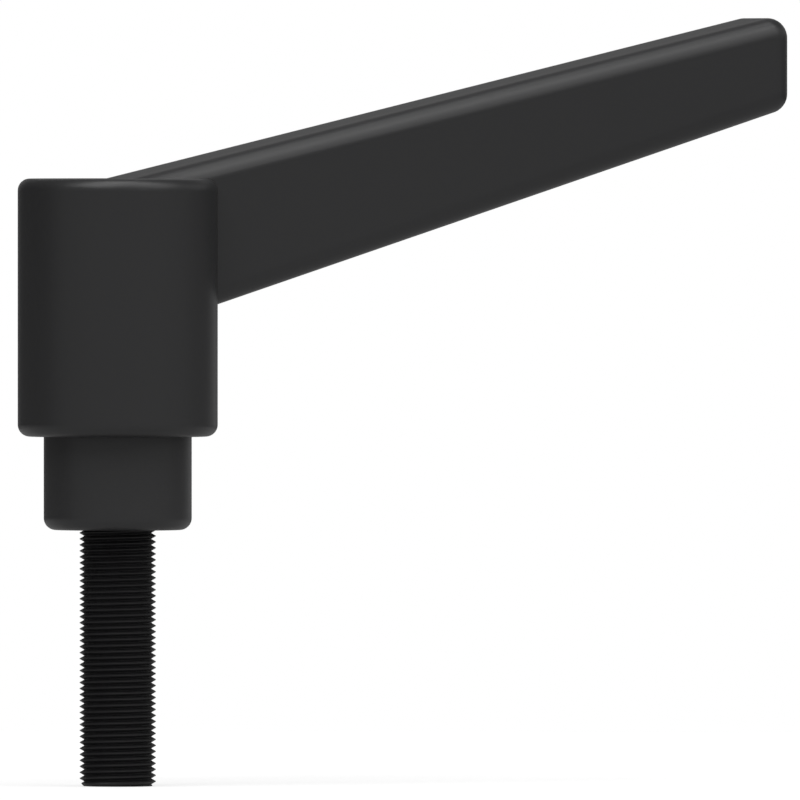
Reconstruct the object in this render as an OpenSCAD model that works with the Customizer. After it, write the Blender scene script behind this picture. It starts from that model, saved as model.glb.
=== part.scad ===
// Clamping lever with a closed hub, a spring-held serrated coupling and a threaded stud.
// Origin: centre of the collar's seating face. +Z up along the stud's axis, +X along the arm. Millimetres.

/* [Arm] */
// Reach from the hub's axis to the end of the arm
arm_reach = 92; // [70:1:120]
// Width of the arm
arm_w = 11.4; // [9:0.1:14]
// Depth of the arm on the hub's axis
arm_root_h = 19.5; // [14:0.5:23]
// Depth of the arm at its end
arm_tip_h = 12; // [8:0.5:16]
// Climb of the arm's top face, in degrees
arm_slope = 12.7; // [5:0.1:20]
// Rounding of the arm's edges and corners
arm_edge_r = 2.5; // [1:0.1:3.5]

/* [Hub] */
// Diameter of the hub
hub_d = 25; // [23:0.1:32]
// Height of the hub
hub_h = 32.25; // [30:0.25:40]
// Rounding of the hub's top and bottom rims
hub_edge_r = 1.5; // [0.5:0.1:2]
// Thickness of the hub's closed top
hub_top_t = 3; // [2:0.1:4]

/* [Insert] */
// Diameter of the collar
collar_d = 18.5; // [17:0.1:20]
// Height of the collar that shows below the hub
collar_h = 11.67; // [8:0.01:16]
// Height of the collar that runs up inside the hub
collar_cover = 5.5; // [5:0.1:7]
// Rounding of the collar's bottom rim
collar_edge_r = 1.5; // [0.5:0.1:2]
// Number of teeth in the serration
tooth_count = 24; // [12:2:36]
// Depth of a tooth
tooth_depth = 0.8; // [0.5:0.05:1.2]
// Height of the insert's teeth
tooth_h = 4.5; // [3:0.1:5]
// Width of the shoulder between the collar's wall and the tips of the teeth
shoulder_w = 0.95; // [0.6:0.05:1.4]
// Solid metal left between the insert's two blind holes
insert_web = 2; // [1:0.1:3]
// Width of the countersink left open round the stud in the seating face
countersink_w = 0.3; // [0.1:0.05:0.6]

/* [Stud] */
// Diameter over the stud's thread
stud_d = 9.525; // [6:0.005:12]
// Length of the stud below the seating face
stud_l = 32; // [16:1:63]
// Depth of the stud's thread
thread_depth = 0.52; // [0.3:0.01:0.8]
// Chamfer on the stud's end
stud_chamfer = 0.5; // [0.2:0.1:1]

/* [Retaining screw] */
// Diameter of the screw's shoulder
screw_shoulder_d = 6; // [5:0.1:7]
// Diameter of the screw's thread
screw_thread_d = 5; // [3:0.1:5]
// Length of the screw's thread
screw_thread_l = 9; // [6:0.5:11]
// Diameter of the screw's head
screw_head_d = 10; // [9:0.1:12]
// Height of the screw's head
screw_head_h = 4.5; // [3:0.1:5]
// Width across the flats of the hexagon socket
socket_w = 3; // [2:0.5:4]
// Depth of the hexagon socket
socket_depth = 2.4; // [1.5:0.1:2.6]

/* [Spring and its ring] */
// Diameter of the spring's wire
wire_d = 0.9; // [0.6:0.05:1.1]
// Turns of the spring, with one closed turn at each end
spring_turns = 6.5; // [4:0.5:7]
// Thickness of the ring that the spring stands on
ring_t = 2.4; // [1.5:0.1:3]
// Width of the ledge that the ring is pressed against
ring_ledge = 0.9; // [0.5:0.1:1.2]

/* [Clearances] */
// Gap round the collar inside the hub
collar_gap = 0.15; // [0.1:0.05:0.3]
// Gap between the teeth of the insert and of the hub
tooth_gap = 0.15; // [0.1:0.05:0.25]
// Gap that lets the ring pass the hub's teeth
ring_pass = 0.15; // [0.1:0.05:0.3]
// Gap between the top of the insert and the ring
ring_lift = 0.4; // [0.2:0.1:0.8]
// Gap round the screw's shoulder, in the ring and in the spring
shoulder_gap = 0.4; // [0.2:0.1:0.5]
// Gap between the screw's head and the hub's closed top
head_gap = 0.6; // [0.3:0.1:1]
// Radial gap of a screwed or pressed joint
joint_gap = 0.02; // [0.01:0.01:0.05]
// Empty depth past the end of a screw in its blind hole
hole_over = 0.8; // [0.4:0.1:1.5]
// Gap at each end of the spring
spring_gap = 0.05; // [0.02:0.01:0.1]

/* [Hidden] */
$fn = 96;
// Overrun of a cut or of a joined solid past the face where it starts
cut = 0.5;
// How far the arm's edge rods stand proud of its flat faces, and its corner balls of the rods
seam = 0.005;
// How far the arm runs past the axis inside the hub
arm_back = 5;
// Chamfer on the ends of the screw and on the stud's hidden end
edge_chamfer = 0.4;
// Sides of the swept wire, and sweep steps in a turn
wire_sides = 8;
rings_per_turn = 16;
// Rise of a closed turn of the spring
closed_pitch = 1.06 * wire_d;
hexagon = 6;

hub_z0 = collar_h;
hub_z1 = hub_z0 + hub_h;
shoulder_z = hub_z0 + collar_cover;
insert_z1 = shoulder_z + tooth_h;
ring_z0 = insert_z1 + ring_lift;
ring_z1 = ring_z0 + ring_t;
ceiling_z = hub_z1 - hub_top_t;
head_z1 = ceiling_z - head_gap;
head_z0 = head_z1 - screw_head_h;
screw_z0 = insert_z1 - screw_thread_l;
stud_hole_z1 = screw_z0 - hole_over - insert_web;
stud_z1 = stud_hole_z1 - hole_over;

tip_r = collar_d / 2 - shoulder_w;
root_r = tip_r - tooth_depth;
ring_r = root_r + tooth_gap - ring_pass;
chamber_r = ring_r - ring_ledge;
stud_core_r = stud_d / 2 - thread_depth;
stud_hole_r = stud_core_r + joint_gap;
countersink_r = stud_d / 2 + countersink_w;
coil_r = screw_shoulder_d / 2 + shoulder_gap + wire_d / 2;

arm_climb = tan(arm_slope);
underside_climb = arm_climb + (arm_root_h - arm_tip_h) / arm_reach;

wire_z0 = ring_z1 + spring_gap + wire_d / 2;
wire_z1 = head_z0 - spring_gap - wire_d / 2;
last_ring = spring_turns * rings_per_turn;

// Lower rim of a half section of radius r, rounded by edge
module rim(r, edge) {
    square([r - edge, edge]);
    translate([r - edge, edge]) circle(edge);
}

// Cross-section of the serration, grown outwards by gap
module serration(gap) {
    polygon([for (i = [0 : 2 * tooth_count - 1])
        let (a = i * 180 / tooth_count, r = gap + (i % 2 == 0 ? tip_r : root_r))
        [r * cos(a), r * sin(a)]]);
}

// Heights of the arm's top and bottom faces at a distance x from the hub's axis
function arm_top(x) = hub_z1 + x * arm_climb;
function arm_bottom(x) = hub_z1 - arm_root_h + x * underside_climb;

// Points of the arm's side outline that lie one edge radius inside its top and bottom faces
function inner_high(x) = [x, arm_top(x) - arm_edge_r * sqrt(1 + pow(arm_climb, 2))];
function inner_low(x) = [x, arm_bottom(x) + arm_edge_r * sqrt(1 + pow(underside_climb, 2))];

module hub() {
    r = hub_d / 2;
    translate([0, 0, hub_z0]) rotate_extrude() {
        rim(r, hub_edge_r);
        translate([0, hub_edge_r]) square([r, hub_h - 2 * hub_edge_r]);
        translate([0, hub_h]) mirror([0, 1]) rim(r, hub_edge_r);
    }
}

// Plate with the given side outline, w wide about the arm's middle plane
module side_plate(outline, w) {
    translate([0, w / 2, 0]) rotate([90, 0, 0]) linear_extrude(w) polygon(outline);
}

// Rod that rounds an edge between two points of the side outline, at a distance y from the middle plane
module edge_rod(from, to, y) {
    run = to - from;
    translate([from.x, y, from.y]) rotate([0, atan2(run.x, run.y), 0])
        cylinder(r = arm_edge_r, h = norm(run));
}

// Flat faces joined by round rods along the edges and by balls at the end corners
module arm() {
    end_x = arm_reach - arm_edge_r;
    low_root = inner_low(-arm_back);
    low_end = inner_low(end_x);
    high_root = inner_high(-arm_back);
    high_end = inner_high(end_x);
    inset = arm_edge_r - seam;
    down = inset / sqrt(1 + pow(underside_climb, 2)) * [underside_climb, -1];
    up = inset / sqrt(1 + pow(arm_climb, 2)) * [-arm_climb, 1];
    out = [inset, 0];
    flat_y = arm_w / 2 - arm_edge_r;
    side_plate([low_root, low_end, high_end, high_root], arm_w - 2 * seam);
    side_plate([low_root + down, low_end + down, low_end, low_end + out,
        high_end + out, high_end, high_end + up, high_root + up], 2 * flat_y);
    for (end = [low_end, high_end])
        translate([end.x, flat_y, end.y]) rotate([90, 0, 0]) cylinder(r = arm_edge_r, h = 2 * flat_y);
    for (y = [-flat_y, flat_y]) {
        edge_rod(low_root, low_end, y);
        edge_rod(low_end, high_end, y);
        edge_rod(high_root, high_end, y);
        for (end = [low_end, high_end])
            translate([end.x, y, end.y]) sphere(arm_edge_r + seam);
    }
}

module lever_handle() {
    color("#2e2e2f") difference() {
        union() {
            hub();
            arm();
        }
        translate([0, 0, hub_z0 - cut]) cylinder(r = collar_d / 2 + collar_gap, h = collar_cover + cut);
        translate([0, 0, shoulder_z - cut]) linear_extrude(ring_z0 - shoulder_z + cut) serration(tooth_gap);
        translate([0, 0, ring_z0 - cut]) cylinder(r = ring_r + joint_gap, h = ring_t + cut);
        translate([0, 0, ring_z1 - cut]) cylinder(r = chamber_r, h = ceiling_z - ring_z1 + cut);
    }
}

module spring_seat_ring() {
    color("#6d6f72") translate([0, 0, ring_z0]) difference() {
        cylinder(r = ring_r, h = ring_t);
        translate([0, 0, -cut]) cylinder(r = screw_shoulder_d / 2 + shoulder_gap, h = ring_t + 2 * cut);
    }
}

module serrated_insert() {
    color("#2c2c2d") difference() {
        union() {
            rotate_extrude() {
                rim(collar_d / 2, collar_edge_r);
                translate([0, collar_edge_r]) square([collar_d / 2, shoulder_z - collar_edge_r]);
            }
            translate([0, 0, shoulder_z - cut]) linear_extrude(tooth_h + cut) serration(0);
        }
        translate([0, 0, -cut]) {
            cylinder(r = stud_hole_r, h = stud_hole_z1 + cut);
            cylinder(r1 = countersink_r + cut, r2 = stud_hole_r, h = countersink_r + cut - stud_hole_r);
        }
        translate([0, 0, screw_z0 - hole_over])
            cylinder(r = screw_thread_d / 2 + joint_gap, h = screw_thread_l + hole_over + cut);
    }
}

module threaded_stud() {
    r = stud_d / 2;
    color("#252526") rotate_extrude() polygon([
        [0, -stud_l], [r - stud_chamfer, -stud_l], [r, stud_chamfer - stud_l], [r, 0], [stud_core_r, 0],
        [stud_core_r, stud_z1 - edge_chamfer], [stud_core_r - edge_chamfer, stud_z1], [0, stud_z1]]);
}

// Height of the wire's centre after a number of turns, closed up over the first and last turn
function wire_z(turn) = lookup(turn, [[0, wire_z0], [1, wire_z0 + closed_pitch],
    [spring_turns - 1, wire_z1 - closed_pitch], [spring_turns, wire_z1]]);

// Point on side k of the wire at ring i of the sweep
function wire_point(i, k) =
    let (turn = i / rings_per_turn, a = 360 * turn, b = 360 * k / wire_sides,
         r = coil_r + wire_d / 2 * cos(b))
    [r * cos(a), r * sin(a), wire_z(turn) + wire_d / 2 * sin(b)];

module return_spring() {
    points = [for (i = [0 : last_ring], k = [0 : wire_sides - 1]) wire_point(i, k)];
    walls = [for (i = [0 : last_ring - 1], k = [0 : wire_sides - 1])
        let (a = i * wire_sides + k, b = i * wire_sides + (k + 1) % wire_sides)
        each [[a, b, a + wire_sides], [b, b + wire_sides, a + wire_sides]]];
    start = [for (k = [wire_sides - 1 : -1 : 0]) k];
    end = [for (k = [0 : wire_sides - 1]) last_ring * wire_sides + k];
    color("#a3a5a8") polyhedron(points, concat(walls, [start, end]));
}

module retaining_screw() {
    head_r = screw_head_d / 2;
    shoulder_r = screw_shoulder_d / 2;
    thread_r = screw_thread_d / 2;
    color("#3a3a3c") difference() {
        rotate_extrude() polygon([
            [0, screw_z0], [thread_r - edge_chamfer, screw_z0], [thread_r, screw_z0 + edge_chamfer],
            [thread_r, insert_z1], [shoulder_r, insert_z1], [shoulder_r, head_z0], [head_r, head_z0],
            [head_r, head_z1 - edge_chamfer], [head_r - edge_chamfer, head_z1], [0, head_z1]]);
        translate([0, 0, head_z1 - socket_depth])
            cylinder(d = socket_w / cos(180 / hexagon), h = socket_depth + cut, $fn = hexagon);
    }
}

lever_handle();
spring_seat_ring();
serrated_insert();
threaded_stud();
return_spring();
retaining_screw();
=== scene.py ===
import math

import bmesh
import bpy
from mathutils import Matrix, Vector


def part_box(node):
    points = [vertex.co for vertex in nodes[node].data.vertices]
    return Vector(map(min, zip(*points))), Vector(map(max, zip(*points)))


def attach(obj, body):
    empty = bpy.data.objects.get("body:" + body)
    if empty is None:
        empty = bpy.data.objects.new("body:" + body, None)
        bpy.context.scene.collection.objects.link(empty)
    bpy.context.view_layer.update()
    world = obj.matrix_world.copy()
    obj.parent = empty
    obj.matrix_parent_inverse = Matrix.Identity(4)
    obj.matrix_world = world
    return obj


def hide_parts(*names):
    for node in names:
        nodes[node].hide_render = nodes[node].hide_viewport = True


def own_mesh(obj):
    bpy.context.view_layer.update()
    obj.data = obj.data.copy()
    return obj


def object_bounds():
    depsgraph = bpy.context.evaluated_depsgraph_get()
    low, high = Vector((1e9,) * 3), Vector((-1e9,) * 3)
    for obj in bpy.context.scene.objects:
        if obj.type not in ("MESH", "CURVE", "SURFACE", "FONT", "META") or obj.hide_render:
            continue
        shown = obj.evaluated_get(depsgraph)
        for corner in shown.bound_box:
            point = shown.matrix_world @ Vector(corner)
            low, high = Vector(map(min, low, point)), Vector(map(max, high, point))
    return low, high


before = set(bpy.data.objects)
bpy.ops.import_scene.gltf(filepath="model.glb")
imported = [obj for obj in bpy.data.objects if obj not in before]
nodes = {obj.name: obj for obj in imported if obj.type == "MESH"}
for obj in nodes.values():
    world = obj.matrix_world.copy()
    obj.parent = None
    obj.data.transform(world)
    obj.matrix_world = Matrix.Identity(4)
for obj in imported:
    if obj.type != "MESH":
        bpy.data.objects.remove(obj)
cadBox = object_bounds()
mm = 0.001  # sizes in this file are millimetres, Blender's are metres
print("frame loaded:", ", ".join(sorted(nodes)))


def hexColour(code):  # sRGB hex to linear RGBA
    parts = [int(code[i:i + 2], 16) / 255 for i in (1, 3, 5)]
    return tuple(c / 12.92 if c <= 0.04045 else ((c + 0.055) / 1.055) ** 2.4 for c in parts) + (1.0,)


def addNode(tree, kind, settings=None, links=None):
    # settings are the node's properties or fixed values of its inputs, links are sockets that feed them
    made = tree.nodes.new(kind)
    for key, value in (settings or {}).items():
        if isinstance(key, str) and hasattr(made, key):
            setattr(made, key, value)
        else:
            made.inputs[key].default_value = value
    for key, socket in (links or {}).items():
        tree.links.new(socket, made.inputs[key])
    return made


def newMaterial(name):
    made = bpy.data.materials.new(name)
    made.use_nodes = True
    made.node_tree.nodes.clear()
    return made, made.node_tree


def toneAndGloss(tree, look, tonePattern, glossPattern):  # colour and roughness that follow two patterns
    tone = addNode(tree, "ShaderNodeMix",
                   {"data_type": "RGBA", 6: hexColour(look["shade"]), 7: hexColour(look["paleShade"])},
                   {0: tonePattern})
    spread = look["roughnessSpread"]
    gloss = addNode(tree, "ShaderNodeMapRange",
                    {"To Min": look["roughness"] - spread, "To Max": look["roughness"] + spread},
                    {"Value": glossPattern})
    return {"Base Color": tone.outputs[2], "Roughness": gloss.outputs[0]}


def aroundAxis(radius, angle, height):  # a point round the stud's axis, from millimetres
    return radius * math.cos(angle) * mm, radius * math.sin(angle) * mm, height * mm


def meshObject(name, bm, sharpAngle=30):  # edges that fold by more than sharpAngle degrees stay sharp
    mesh = bpy.data.meshes.new(name)
    bm.to_mesh(mesh)
    bm.free()
    mesh.polygons.foreach_set("use_smooth", [True] * len(mesh.polygons))
    mesh.set_sharp_from_angle(angle=math.radians(sharpAngle))
    made = bpy.data.objects.new(name, mesh)
    bpy.context.scene.collection.objects.link(made)
    return made


# Glass-filled polyamide, injection moulded in a spark-eroded mould: an even near-black satin with soft,
# wide highlights, a slow drift of tone left by the flow of the plastic and a fine grain close up.
polyamide = {
    "shade": "#2e2e2f",
    "paleShade": "#313132",  # where the glass lies close under the skin
    "ior": 1.53,
    "roughness": 0.39,
    "roughnessSpread": 0.05,
    "grain": 0.3,  # mm; the mould's real grain is near 0.1 and would not show
    "grainDetail": 2.0,
    "grainHeight": 0.004,
    "flow": 16,  # mm from one tone to the next
    "flowDetail": 3.0,
}


def mouldedPolyamide(look):
    made, tree = newMaterial("moulded glass-filled polyamide, spark-eroded satin")
    place = addNode(tree, "ShaderNodeTexCoord").outputs["Object"]
    flow = addNode(tree, "ShaderNodeTexNoise",
                   {"Scale": 1 / (look["flow"] * mm), "Detail": look["flowDetail"]}, {"Vector": place})
    grain = addNode(tree, "ShaderNodeTexNoise",
                    {"Scale": 1 / (look["grain"] * mm), "Detail": look["grainDetail"]}, {"Vector": place})
    skin = addNode(tree, "ShaderNodeBump", {"Strength": 1.0, "Distance": look["grainHeight"] * mm},
                   {"Height": grain.outputs["Fac"]})
    links = toneAndGloss(tree, look, flow.outputs["Fac"], grain.outputs["Fac"])
    links["Normal"] = skin.outputs[0]
    shader = addNode(tree, "ShaderNodeBsdfPrincipled", {"IOR": look["ior"]}, links)
    addNode(tree, "ShaderNodeOutputMaterial", links={"Surface": shader.outputs[0]})
    return made


# Steel, turned and then phosphated black: the crystals scatter light like a dark satin paint, and the rings
# left by the turning tool still show through them.
phosphate = {
    "shade": "#2d2d2e",
    "paleShade": "#323233",
    "ior": 1.55,
    "roughness": 0.39,
    "roughnessSpread": 0.05,
    "feed": 0.3,  # mm from ring to ring; the real feed is near 0.1 and would not show
    "ringHeight": 0.0015,
    "ringWander": 0.6,  # how unevenly the rings run
    "crystal": 0.4,  # mm; real crystals are near 0.02, drawn coarser to show
    "crystalDetail": 4.0,
}


def phosphatedSteel(look):
    made, tree = newMaterial("turned steel, black phosphated")
    place = addNode(tree, "ShaderNodeTexCoord").outputs["Object"]
    ringScale = math.pi / (10 * look["feed"] * mm)  # the wave texture repeats every pi / (10 * scale)
    rings = addNode(tree, "ShaderNodeTexWave",
                    {"bands_direction": "Z", "Scale": ringScale, "Distortion": look["ringWander"]},
                    {"Vector": place})
    crystal = addNode(tree, "ShaderNodeTexNoise",
                      {"Scale": 1 / (look["crystal"] * mm), "Detail": look["crystalDetail"]},
                      {"Vector": place})
    skin = addNode(tree, "ShaderNodeBump", {"Strength": 1.0, "Distance": look["ringHeight"] * mm},
                   {"Height": rings.outputs["Fac"]})
    links = toneAndGloss(tree, look, crystal.outputs["Fac"], crystal.outputs["Fac"])
    links["Normal"] = skin.outputs[0]
    shader = addNode(tree, "ShaderNodeBsdfPrincipled", {"IOR": look["ior"]}, links)
    addNode(tree, "ShaderNodeOutputMaterial", links={"Surface": shader.outputs[0]})
    return made


# Steel with a rolled thread, oxidised black and oiled: darker than the phosphate, with a closed, slightly
# glossier skin that the oil leaves uneven.
oxide = {
    "shade": "#202021",
    "paleShade": "#262627",
    "ior": 1.5,
    "roughness": 0.38,
    "roughnessSpread": 0.08,
    "oilPatch": 2.5,  # mm
    "oilDetail": 5.0,
}


def oxidisedSteel(look):
    made, tree = newMaterial("rolled steel, black oxide and oil")
    place = addNode(tree, "ShaderNodeTexCoord").outputs["Object"]
    oil = addNode(tree, "ShaderNodeTexNoise",
                  {"Scale": 1 / (look["oilPatch"] * mm), "Detail": look["oilDetail"]}, {"Vector": place})
    links = toneAndGloss(tree, look, oil.outputs["Fac"], oil.outputs["Fac"])
    shader = addNode(tree, "ShaderNodeBsdfPrincipled", {"IOR": look["ior"]}, links)
    addNode(tree, "ShaderNodeOutputMaterial", links={"Surface": shader.outputs[0]})
    return made


# Bare steel, turned or drawn and lightly oiled: a grey metal with clear highlights that a fine, even grain
# breaks up a little.
bareSteel = {
    "turned": {
        "shade": "#9a9b9e",
        "paleShade": "#a9aaac",
        "roughness": 0.34,
        "roughnessSpread": 0.06,
        "grain": 0.12,  # mm
        "grainDetail": 3.0,
    },
    "drawn": {
        "shade": "#a3a4a6",
        "paleShade": "#b2b3b4",
        "roughness": 0.27,
        "roughnessSpread": 0.06,
        "grain": 0.08,  # mm
        "grainDetail": 3.0,
    },
}


def plainSteel(name, look):
    made, tree = newMaterial(name)
    place = addNode(tree, "ShaderNodeTexCoord").outputs["Object"]
    grain = addNode(tree, "ShaderNodeTexNoise",
                    {"Scale": 1 / (look["grain"] * mm), "Detail": look["grainDetail"]}, {"Vector": place})
    links = toneAndGloss(tree, look, grain.outputs["Fac"], grain.outputs["Fac"])
    shader = addNode(tree, "ShaderNodeBsdfPrincipled", {"Metallic": 1.0}, links)
    addNode(tree, "ShaderNodeOutputMaterial", links={"Surface": shader.outputs[0]})
    return made


satinBlack = mouldedPolyamide(polyamide)
phosphateBlack = phosphatedSteel(phosphate)
oxideBlack = oxidisedSteel(oxide)
turnedSteel = plainSteel("turned steel, oiled", bareSteel["turned"])
drawnSteel = plainSteel("drawn spring steel wire", bareSteel["drawn"])

cadFinish = {  # CAD pieces whose shape already is the real one
    "lever_handle": satinBlack,
    "serrated_insert": phosphateBlack,
    "retaining_screw": oxideBlack,
    "spring_seat_ring": turnedSteel,
}
for name, finish in cadFinish.items():
    nodes[name].data.materials.clear()
    nodes[name].data.materials.append(finish)
print("materials on the CAD pieces:", len(cadFinish))

# The stud's thread: one right-hand ridge that winds up the stud, cut by the chamfer at its end.
stud = {
    "pitch": 0.748,
    "depth": 0.545,
    "crest": 0.08,  # width of the flat on the ridge
    "groove": 0.04,  # width of the flat between the ridges
    "crestAtZero": -1.477,  # height of a crest's lower edge at angle 0
    "endChamfer": 0.5,
    "topChamfer": 0.4,  # on the end inside the insert
    "segments": 120,
    "flankRows": 3,  # rows of faces on each flank
    "sharpAngle": 28,
    "mergeGap": 0.0005,  # points nearer than this become one
}


def ridge(phase, crest, groove):  # share of the thread's depth, from 1 on the ridge to 0 in the groove
    flank = (1 - crest - groove) / 2
    if phase < crest:
        return 1.0
    return max(0.0, 1 - (phase - crest) / flank, 1 - (1 - phase) / flank)


def ridgeSteps(crest, groove, rows):  # where the profile has points, as shares of the pitch
    flank = (1 - crest - groove) / 2
    falling = [crest + flank * i / rows for i in range(rows + 1)]
    rising = [1 - flank * (rows - i) / rows for i in range(rows)]
    return [0] + falling + rising


def buildStud(look):
    low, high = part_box("threaded_stud")
    end, top, outer = low.z / mm, high.z / mm, max(high.x, high.y) / mm
    core, pitch = outer - look["depth"], look["pitch"]
    crest, groove = look["crest"] / pitch, look["groove"] / pitch
    steps = ridgeSteps(crest, groove, look["flankRows"])
    fromEnd = look["crestAtZero"] - end
    start = look["crestAtZero"] - pitch * math.ceil(fromEnd / pitch + 1)  # a crest below the stud's end
    turns = math.ceil(-start / pitch) + 1  # enough to reach the seating face
    bm = bmesh.new()
    columns = []
    for j in range(look["segments"] + 1):
        share = j / look["segments"]
        profile = [(0, end)]
        for k in range(turns):
            for step in steps:
                z = min(max(start + pitch * (k + step + share), end), 0)
                phase = ((z - start) / pitch - share) % 1
                threadRadius = core + look["depth"] * ridge(phase, crest, groove)
                chamferRadius = outer - look["endChamfer"] + z - end
                profile.append((min(threadRadius, chamferRadius), z))
        profile += [(core, 0), (core, top - look["topChamfer"]), (core - look["topChamfer"], top), (0, top)]
        angle = 2 * math.pi * share
        columns.append([bm.verts.new(aroundAxis(r, angle, z)) for r, z in profile])
    for left, right in zip(columns, columns[1:]):
        for i in range(len(left) - 1):
            bm.faces.new((left[i], right[i], right[i + 1], left[i + 1]))
    bmesh.ops.remove_doubles(bm, verts=bm.verts, dist=look["mergeGap"] * mm)
    bmesh.ops.dissolve_degenerate(bm, edges=bm.edges, dist=look["mergeGap"] * mm)
    bmesh.ops.recalc_face_normals(bm, faces=bm.faces)
    made = meshObject("stud_with_thread", bm, look["sharpAngle"])
    made.data.materials.append(oxideBlack)
    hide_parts("threaded_stud")
    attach(made, "base")
    return made


print("stud built, faces:", len(buildStud(stud).data.polygons))

# The return spring: round wire wound between the ring and the screw's head, closed up over its first and
# last turn.
spring = {
    "wire": 0.9,
    "turns": 6.5,
    "closedPitch": 0.954,
    "sides": 14,
    "ringsPerTurn": 48,
    "sharpAngle": 50,
    "lift": 4.8,  # how far the ring rises towards the screw's head
}


def buildSpring(look):
    low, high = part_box("return_spring")
    half = look["wire"] / 2
    coil, bottom, top = high.x / mm - half, low.z / mm + half, high.z / mm - half
    openRise = top - bottom - 2 * look["closedPitch"]
    bm = bmesh.new()
    rings = []
    for i in range(round(look["turns"] * look["ringsPerTurn"]) + 1):
        turn = i / look["ringsPerTurn"]
        openShare = min(max((turn - 1) / (look["turns"] - 2), 0), 1)
        closedTurns = min(turn, 1) + max(turn - look["turns"] + 1, 0)
        z = bottom + closedTurns * look["closedPitch"] + openShare * openRise
        angle = 2 * math.pi * turn
        ring = []
        for k in range(look["sides"]):
            side = 2 * math.pi * k / look["sides"]
            point = aroundAxis(coil + half * math.cos(side), angle, z + half * math.sin(side))
            ring.append(bm.verts.new(point))
        rings.append(ring)
    for lower, upper in zip(rings, rings[1:]):
        for k in range(look["sides"]):
            n = (k + 1) % look["sides"]
            bm.faces.new((lower[k], upper[k], upper[n], lower[n]))
    bm.faces.new(rings[0])
    bm.faces.new(rings[-1][::-1])
    bmesh.ops.recalc_face_normals(bm, faces=bm.faces)
    made = meshObject("wire_spring", bm, look["sharpAngle"])
    made.data.materials.append(drawnSteel)
    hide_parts("return_spring")
    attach(made, "spring")
    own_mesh(made)
    return made


print("spring built, faces:", len(buildSpring(spring).data.polygons))

# The camera stands far off with a long lens, almost level, so that the lever shows nearly without
# perspective.
view = {
    "bearing": 26.4032,  # degrees from the arm's side
    "climb": 0.5456,
    "distance": 4165.27,
    "aimRight": 35.2723,  # from the stud's axis
    "aimUp": 16.2434,  # from the seating face
    "lens": 1500,
    "sensor": 36,
    "nearest": 100,  # nothing nearer or farther than these two is drawn
    "farthest": 50000,
}
viewTurn = math.radians(view["bearing"])
viewRight = Vector((math.cos(viewTurn), -math.sin(viewTurn), 0))
viewBack = Vector((-math.sin(viewTurn), -math.cos(viewTurn), 0))  # from the lever to the camera


def addCamera(look):
    tilt = math.radians(look["climb"])
    away = viewBack * math.cos(tilt) + Vector((0, 0, math.sin(tilt)))
    aim = viewRight * look["aimRight"] + Vector((0, 0, look["aimUp"]))
    data = bpy.data.cameras.new("camera")
    data.lens = look["lens"]
    data.sensor_width = look["sensor"]
    data.clip_start = look["nearest"] * mm
    data.clip_end = look["farthest"] * mm
    made = bpy.data.objects.new("camera", data)
    made.location = (aim + away * look["distance"]) * mm
    made.rotation_euler = away.to_track_quat("Z", "Y").to_euler()
    bpy.context.scene.collection.objects.link(made)
    bpy.context.scene.camera = made


addCamera(view)
print("camera ready")

# Soft boxes, so far off that they light the floor evenly. Bearings are degrees to the right of the camera.
lamps = {
    "key": {"bearing": 52, "climb": 44, "spread": 48, "strength": 0.55},
    "keyTop": {"bearing": 58, "climb": 63, "spread": 20, "strength": 0.19},
    "upperLeft": {"bearing": -28, "climb": 56, "spread": 44, "strength": 1.01},
    "overhead": {"bearing": 0, "climb": 89, "spread": 28, "strength": 0.49},
    "right": {"bearing": 110, "climb": 20, "spread": 30, "strength": 0.09},
    "backRight": {"bearing": 150, "climb": 12, "spread": 36, "strength": 0.085},
    "back": {"bearing": 180, "climb": 31, "spread": 28, "strength": 0.069},
    "backLeft": {"bearing": -165, "climb": 8, "spread": 20, "strength": 0.025},
}


def towards(bearing, climb):
    side, up = math.radians(bearing), math.radians(climb)
    level = viewBack * math.cos(side) + viewRight * math.sin(side)
    return level * math.cos(up) + Vector((0, 0, math.sin(up)))


def addLamps(looks):
    for name, look in looks.items():
        data = bpy.data.lights.new(name, "SUN")
        data.energy = look["strength"]
        data.angle = math.radians(look["spread"])
        made = bpy.data.objects.new(name, data)
        made.rotation_euler = towards(look["bearing"], look["climb"]).to_track_quat("Z", "Y").to_euler()
        bpy.context.scene.collection.objects.link(made)


addLamps(lamps)

# The room: white where it is seen, while its light comes from a grey wall round the camera.
room = {
    "wall": {"bearing": 8, "climb": 2, "shade": "#888888", "edge": 6},  # a higher edge is a sharper one
    "background": "#ffffff",
    "floorShade": "#b8b8b8",
    "floorRoughness": 0.9,
    "floorSpecular": 0.1,
    "floorRadius": 350,  # a wider floor would light the hub's flanks from behind
    "floorSides": 96,
    "floorGap": 0.05,  # below the stud's end
    "floorLift": 0.70,  # brings the floor up to the white background where no shadow falls
    "glossShare": 0.063,  # of the white in glossy rays: more would turn the black satin grey
}


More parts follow.
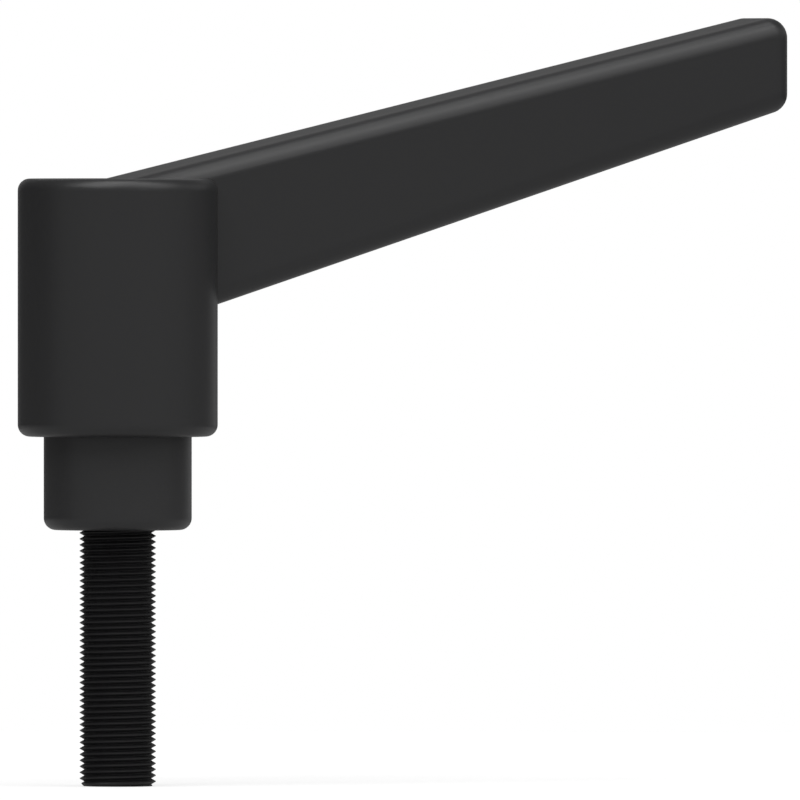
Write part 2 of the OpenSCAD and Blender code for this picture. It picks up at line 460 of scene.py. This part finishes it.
def whiteShare(tree, glossShare):  # 1 for rays from the camera or through glass, a share for reflections
    rays = addNode(tree, "ShaderNodeLightPath").outputs
    seen = addNode(tree, "ShaderNodeMath", {"operation": "MAXIMUM"},
                   {0: rays["Is Camera Ray"], 1: rays["Is Transmission Ray"]})
    return addNode(tree, "ShaderNodeMath", {"operation": "MULTIPLY_ADD", 1: glossShare},
                   {0: rays["Is Glossy Ray"], 2: seen.outputs[0]}).outputs[0]


def addWorld(look):
    world = bpy.data.worlds.new("studio")
    bpy.context.scene.world = world
    world.use_nodes = True
    tree = world.node_tree
    tree.nodes.clear()
    wall = look["wall"]
    wallSide = towards(wall["bearing"], wall["climb"]) * wall["edge"]
    ray = addNode(tree, "ShaderNodeTexCoord").outputs["Generated"]
    facing = addNode(tree, "ShaderNodeVectorMath", {"operation": "DOT_PRODUCT", 1: wallSide}, {0: ray})
    level = addNode(tree, "ShaderNodeClamp", links={"Value": facing.outputs["Value"]})
    grey = addNode(tree, "ShaderNodeBackground", {"Color": hexColour(wall["shade"])},
                   {"Strength": level.outputs[0]})
    white = addNode(tree, "ShaderNodeBackground", {"Color": hexColour(look["background"])})
    share = whiteShare(tree, look["glossShare"])
    shown = addNode(tree, "ShaderNodeMixShader", links={0: share, 1: grey.outputs[0], 2: white.outputs[0]})
    addNode(tree, "ShaderNodeOutputWorld", links={"Surface": shown.outputs[0]})


def addFloor(look):
    bm = bmesh.new()
    bmesh.ops.create_circle(bm, cap_ends=True, segments=look["floorSides"], radius=look["floorRadius"] * mm)
    floor = meshObject("floor", bm)
    floor.location.z = cadBox[0].z - look["floorGap"] * mm
    made, tree = newMaterial("pale matt floor")
    shader = addNode(tree, "ShaderNodeBsdfPrincipled",
                     {"Base Color": hexColour(look["floorShade"]), "Roughness": look["floorRoughness"],
                      "Specular IOR Level": look["floorSpecular"]})
    lift = addNode(tree, "ShaderNodeEmission", {"Strength": look["floorLift"]})
    lifted = addNode(tree, "ShaderNodeAddShader", links={0: shader.outputs[0], 1: lift.outputs[0]})
    share = whiteShare(tree, look["glossShare"])
    shown = addNode(tree, "ShaderNodeMixShader",
                    links={0: share, 1: shader.outputs[0], 2: lifted.outputs[0]})
    addNode(tree, "ShaderNodeOutputMaterial", links={"Surface": shown.outputs[0]})
    floor.data.materials.append(made)


addWorld(room)
addFloor(room)
bpy.context.scene.view_settings.view_transform = "Standard"
print("lamps and room ready")
